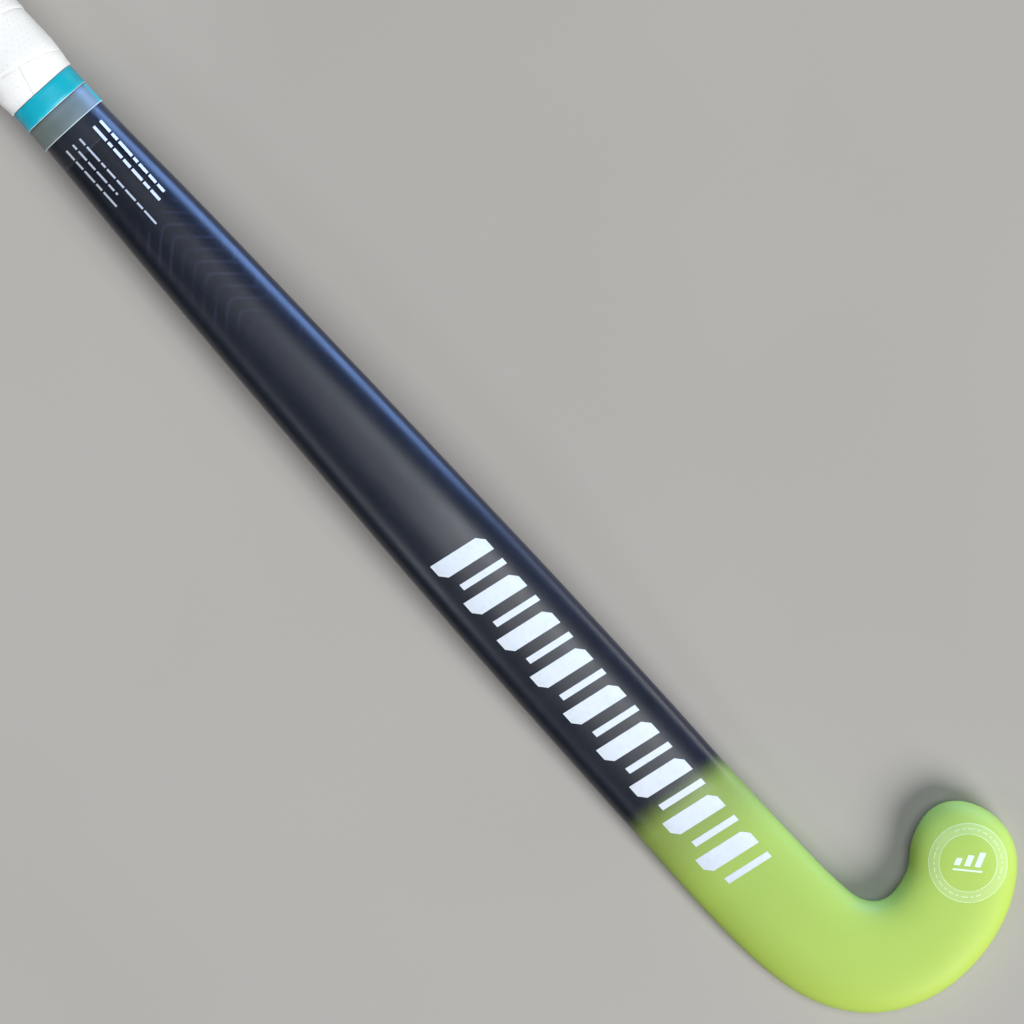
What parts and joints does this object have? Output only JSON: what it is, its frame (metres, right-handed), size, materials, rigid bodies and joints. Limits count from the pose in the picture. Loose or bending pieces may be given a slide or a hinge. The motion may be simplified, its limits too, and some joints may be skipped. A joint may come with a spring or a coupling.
{
  "type": "field hockey stick",
  "caption": "Right-handed field hockey stick: hooked head with a flat playing face and rounded back, tapering lacquered shaft, wrapped grip and rubber butt cap.",
  "frame": {"origin": "middle of the bounding box in X and Y, on the plane the flat playing face rests on", "axes": "+X down the shaft from the butt towards the hooked head, +Y towards the toe side of the shaft, +Z out of the rounded back"},
  "size_m": [0.9271, 0.119, 0.042],
  "materials": {
    "laminate_shell": "lacquered fibre laminate, dark shaft fading to lime green at the head",
    "face_ply": "bare cured carbon cloth",
    "head_core": "closed-cell foam",
    "toe_side_tube": "bare cured braided tube",
    "heel_side_tube": "bare cured braided tube",
    "handle_plug": "rigid foam",
    "butt_cap": "matt moulded rubber",
    "grip_underlay": "thin foam rubber cushion",
    "grip_tape": "white polyurethane grip, finely perforated",
    "finishing_tape": "teal vinyl tape",
    "grey_band": "smooth grey band with a soft sheen",
    "clear_film": "clear glossy tape"
  },
  "bodies": {
    "root": {"laminate_shell": "laminate_shell", "face_ply": "face_ply", "head_core": "head_core", "toe_side_tube": "toe_side_tube", "heel_side_tube": "heel_side_tube", "handle_plug": "handle_plug", "butt_cap": "butt_cap", "grip_underlay": "grip_underlay", "grip_tape": "grip_tape", "finishing_tape": "finishing_tape", "grey_band": "grey_band", "clear_film": "clear_film"}
  },
  "joints": []
}
